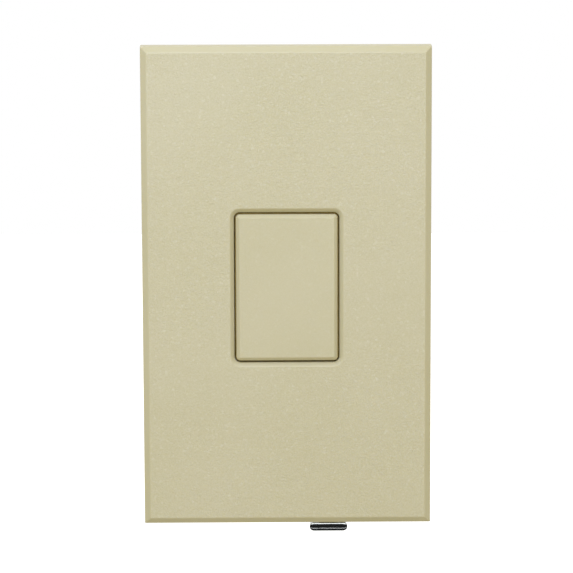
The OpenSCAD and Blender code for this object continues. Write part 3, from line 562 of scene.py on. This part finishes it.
def pill_ring(middle, half_width, half_height, depth, corner_points=14):
    """A stadium outline across X and Z at one depth, from the right end round to the left."""
    reach = half_width - half_height
    ring = []
    for side, start in ((1, -pi / 2), (-1, pi / 2)):
        for place in range(corner_points + 1):
            angle = start + pi * place / corner_points
            ring.append((
                middle.x + side * reach + half_height * cos(angle),
                depth,
                middle.z + half_height * sin(angle),
            ))
    return ring


# The tip's front in millimetres and degrees: a shallow crown, with narrow sloping lands round it.
TIP_CROWN_RADIUS = 3.67
TIP_CROWN_END = 11.0
TIP_LAND_TILTS = (15.5, 16.5, 17.5)
TIP_LAND_REACHES = (0.73, 0.82, 0.91)


def make_lever_tip():
    """The lever's tip: a pill with a crowned front, sloping lands and a rounded edge."""
    low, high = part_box("slide_knob")
    middle = (low + high) / 2
    half_width = (high.x - low.x) / 2
    half_height = (high.z - low.z) / 2
    crown_radius = TIP_CROWN_RADIUS * MM
    crown_end = radians(TIP_CROWN_END)
    rings = []
    for step in range(1, 9):
        angle = crown_end * step / 8
        reach = crown_radius * sin(angle)
        depth = low.y + crown_radius * (1 - cos(angle))
        rings.append(pill_ring(middle, half_width - half_height + reach, reach, depth))
    for tilt, land_reach in zip(TIP_LAND_TILTS, TIP_LAND_REACHES):
        depth += (land_reach * MM - reach) * tan(radians(tilt))
        reach = land_reach * MM
        rings.append(pill_ring(middle, half_width - half_height + reach, reach, depth))
    land_end = radians(TIP_LAND_TILTS[-1])
    corner = (half_height - reach) / (1 - sin(land_end))
    corner_reach = half_height - corner
    corner_depth = depth + corner * cos(land_end)
    for step in range(1, 11):
        angle = land_end + (pi / 2 - land_end) * step / 10
        reach = corner_reach + corner * sin(angle)
        depth = corner_depth - corner * cos(angle)
        rings.append(pill_ring(middle, half_width - half_height + reach, reach, depth))
    for share in (0.3, 0.65, 1.0):
        depth = corner_depth + share * (high.y - corner_depth)
        rings.append(pill_ring(middle, half_width, half_height, depth))
    vertices, faces = loft(rings[::-1])
    add_piece("lever_tip", vertices, faces, "chrome", "slide", "slide_knob")


# Outer diameter, wire, number of turns, and where the front and back ends lie along Y, in millimetres.
RETURN_SPRING = (3.96, 0.45, 5.5, -6.18, -0.12)
PLUNGER_COIL = (3.56, 0.4, 5.0, 5.22, 10.78)


def spring_mesh(centre_x, centre_z, sizes):
    """A closed-end compression spring wound along Y."""
    outer, wire, turns, front, back = sizes
    outer, wire, front, back = outer * MM, wire * MM, front * MM, back * MM
    around = 12
    steps = int(turns * 32)
    radius = outer / 2 - wire / 2
    travel = (back - front) - wire
    end_share = 0.75 / turns
    end_rise = 0.5 * wire / travel
    rings = []
    for step in range(steps + 1):
        share = step / steps
        if share < end_share:
            climb = end_rise * share / end_share
        elif share > 1 - end_share:
            climb = 1 - end_rise * (1 - share) / end_share
        else:
            climb = end_rise + (1 - 2 * end_rise) * (share - end_share) / (1 - 2 * end_share)
        angle = 2 * pi * turns * share
        outward = Vector((cos(angle), 0.0, sin(angle)))
        middle = Vector((centre_x, front + wire / 2 + travel * climb, centre_z)) + outward * radius
        ring = []
        for place in range(around):
            turn = 2 * pi * place / around
            ring.append(middle + outward * (wire / 2 * cos(turn)) + Vector((0, wire / 2 * sin(turn), 0)))
        rings.append(ring)
    return loft(rings)


def make_springs():
    """The two springs behind the button and the one under the plunger."""
    low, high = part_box("return_springs")
    centre_z = (low.z + high.z) / 2
    for label, centre_x in (("left", low.x + 2.0 * MM), ("right", high.x - 2.0 * MM)):
        vertices, faces = spring_mesh(centre_x, centre_z, RETURN_SPRING)
        name = "return_spring_" + label
        spring = add_piece(name, vertices, faces, "spring_steel", "root", "return_springs")
        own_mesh(spring)
    low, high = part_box("plunger_spring")
    middle = (low + high) / 2
    vertices, faces = spring_mesh(middle.x, middle.z, PLUNGER_COIL)
    spring = add_piece("plunger_coil", vertices, faces, "spring_steel", "root", "plunger_spring")
    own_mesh(spring)


# The lip in millimetres. Its depth is from the button's face, and its root is sunk into the button's side.
LIP_DEPTH = 2.3
LIP_THICKNESS = 0.6
LIP_REACH = 0.3
LIP_ROOT = 0.15
LIP_EDGE = 0.08
BUTTON_CORNER = 0.9


def rounded_outline(half_width, half_height, radius, depth, corner_points=8):
    """A rounded rectangle across X and Z at one depth."""
    ring = []
    corners = ((1, -1, -pi / 2), (1, 1, 0.0), (-1, 1, pi / 2), (-1, -1, pi))
    for side, rise, start in corners:
        for place in range(corner_points + 1):
            angle = start + pi / 2 * place / corner_points
            ring.append((
                side * (half_width - radius) + radius * cos(angle),
                depth,
                rise * (half_height - radius) + radius * sin(angle),
            ))
    return ring


def make_dust_lip():
    """A thin moulded lip round the button, which closes most of the gap from behind. Its darker amber
    colour is painted shade for the gap.
    """
    low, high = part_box("button")
    front = low.y + LIP_DEPTH * MM
    back = front + LIP_THICKNESS * MM
    edge = LIP_EDGE * MM
    reach = LIP_REACH * MM
    rings = []
    section = (
        (-LIP_ROOT * MM, front),
        (reach - edge, front),
        (reach, front + edge),
        (reach, back - edge),
        (reach - edge, back),
        (-LIP_ROOT * MM, back),
    )
    for grow, depth in section:
        rings.append(rounded_outline(high.x + grow, high.z + grow, BUTTON_CORNER * MM + grow, depth))
    count = len(rings[0])
    vertices = [point for ring in rings for point in ring]
    faces = []
    for step in range(len(rings)):
        near = step * count
        far = (step + 1) % len(rings) * count
        for place in range(count):
            after = (place + 1) % count
            faces.append((near + place, far + place, far + after, near + after))
    # Painted shade: the lip takes the darker amber finish in place of the button's ivory.
    lip = add_piece("button_dust_lip", vertices, faces, "ivory_plastic", "button", finish=LIP_PAINTED_SHADE)
    for face in lip.data.polygons:
        face.use_smooth = False


make_lever_tip()
make_dust_lip()
make_springs()

# ---------------------------------------------------------------- studio

# Places and sizes are in metres, lamp powers in watts.
FLOOR_HEIGHT = -1.2
FLOOR_REACH = 12.0
FLOOR_GLOW = 0.04
FLOOR_SEEN = 0.6
WORLD_BEHIND = 0.85
WORLD_IN_FRONT = 1.01
CARD_SIDE = 1.4
CARD_NEAR = -0.9
CARD_FAR = 1.8
CARD_TOP = 0.166
CARD_FOOT = -0.44
CARD_TABLE = -0.59
UNDER_CARD = -1.08
KEY_PLACE = (-0.07, -0.28, 0.29)
KEY_SIZE = (0.34, 0.24)
KEY_POWER = 1.37
KEY_COLOUR = (0.50, 0.60, 1.00)
STRIP_PLACE = (0.0, -0.9, 0.396)
STRIP_SIZE = (1.4, 0.46)
STRIP_POWER = 4.0
WHITE = (1.0, 1.0, 1.0)


def add_sheet(name, corners, material):
    """A flat sheet that belongs to the studio and not to the dimmer."""
    mesh = bpy.data.meshes.new(name)
    mesh.from_pydata(corners, [], [(0, 1, 2, 3)])
    sheet = bpy.data.objects.new(name, mesh)
    bpy.context.scene.collection.objects.link(sheet)
    mesh.materials.append(material)
    return sheet


def seen_directly(tree):
    """1 for the camera and for what polished or clear things show, 0 for the light that lands."""
    path = tree.add("ShaderNodeLightPath").outputs
    some = tree.math("ADD", path["Is Camera Ray"], path["Is Glossy Ray"])
    return tree.math("ADD", some, path["Is Transmission Ray"], clamp=True)


def add_floor():
    """A pale floor well below, which keeps the soft shadow and otherwise goes to white."""
    material = bpy.data.materials.new("pale_floor")
    material.use_nodes = True
    tree = Tree(material.node_tree)
    shader = material.node_tree.nodes["Principled BSDF"]
    shader.inputs["Base Color"].default_value = (0.84, 0.83, 0.80, 1.0)
    shader.inputs["Roughness"].default_value = 0.9
    shader.inputs["Specular IOR Level"].default_value = 0.1
    shader.inputs["Emission Color"].default_value = (*WHITE, 1.0)
    glow = tree.span(seen_directly(tree), 0.0, 1.0, FLOOR_GLOW, FLOOR_SEEN)
    tree.feed(shader.inputs["Emission Strength"], glow)
    outline = ((-1, -1), (1, -1), (1, 1), (-1, 1))
    corners = [(side * FLOOR_REACH, depth * FLOOR_REACH, FLOOR_HEIGHT) for side, depth in outline]
    add_sheet("floor", corners, material)


def upright_card(start, end, foot):
    """The corners of a card that stands on a line between two places and ends at the cards' top."""
    return [(*start, foot), (*end, foot), (*end, CARD_TOP), (*start, CARD_TOP)]


def add_dark_cards():
    """Black cards in front, at the sides and below, which only polished surfaces pick up."""
    material = bpy.data.materials.new("black_card")
    material.use_nodes = True
    shader = material.node_tree.nodes["Principled BSDF"]
    shader.inputs["Base Color"].default_value = (0.01, 0.01, 0.01, 1.0)
    shader.inputs["Roughness"].default_value = 1.0
    near_left = (-CARD_SIDE, CARD_NEAR)
    near_right = (CARD_SIDE, CARD_NEAR)
    far_left = (-CARD_SIDE, CARD_FAR)
    far_right = (CARD_SIDE, CARD_FAR)
    shapes = {
        "front": upright_card(near_left, near_right, CARD_FOOT),
        "left": upright_card(near_left, far_left, CARD_TABLE),
        "right": upright_card(near_right, far_right, CARD_TABLE),
        "under": [
            (-CARD_SIDE, UNDER_CARD, CARD_TABLE),
            (CARD_SIDE, UNDER_CARD, CARD_TABLE),
            (*far_right, CARD_TABLE),
            (*far_left, CARD_TABLE),
        ],
    }
    for label, corners in shapes.items():
        card = add_sheet("dark_card_" + label, corners, material)
        card.visible_camera = False
        card.visible_diffuse = False
        card.visible_shadow = False


def add_soft_box(name, place, size, power, colour, lights=True):
    """A rectangular soft box that faces the middle of the plate. Without lights, only gloss shows it."""
    data = bpy.data.lights.new(name, "AREA")
    data.shape = "RECTANGLE"
    data.size, data.size_y = size
    data.energy = power
    data.color = colour
    light = bpy.data.objects.new(name, data)
    bpy.context.scene.collection.objects.link(light)
    light.location = place
    light.rotation_euler = (-Vector(place)).to_track_quat("-Z", "Y").to_euler()
    light.visible_diffuse = lights


def add_world():
    """Even white all round, a little stronger in front, and plain white where it is seen directly."""
    world = bpy.data.worlds.new("studio")
    bpy.context.scene.world = world
    world.use_nodes = True
    tree = Tree(world.node_tree)
    background = world.node_tree.nodes["Background"]
    background.inputs["Color"].default_value = (*WHITE, 1.0)
    parts = tree.add("ShaderNodeSeparateXYZ")
    tree.feed(parts.inputs[0], tree.add("ShaderNodeTexCoord").outputs["Generated"])
    level = tree.span(parts.outputs["Y"], -1.0, 1.0, WORLD_IN_FRONT, WORLD_BEHIND)
    tree.feed(background.inputs["Strength"], tree.span(seen_directly(tree), 0.0, 1.0, level, 1.0))


add_floor()
add_dark_cards()
add_soft_box("key_soft_box", KEY_PLACE, KEY_SIZE, KEY_POWER, KEY_COLOUR)
add_soft_box("front_strip", STRIP_PLACE, STRIP_SIZE, STRIP_POWER, WHITE, lights=False)
add_world()
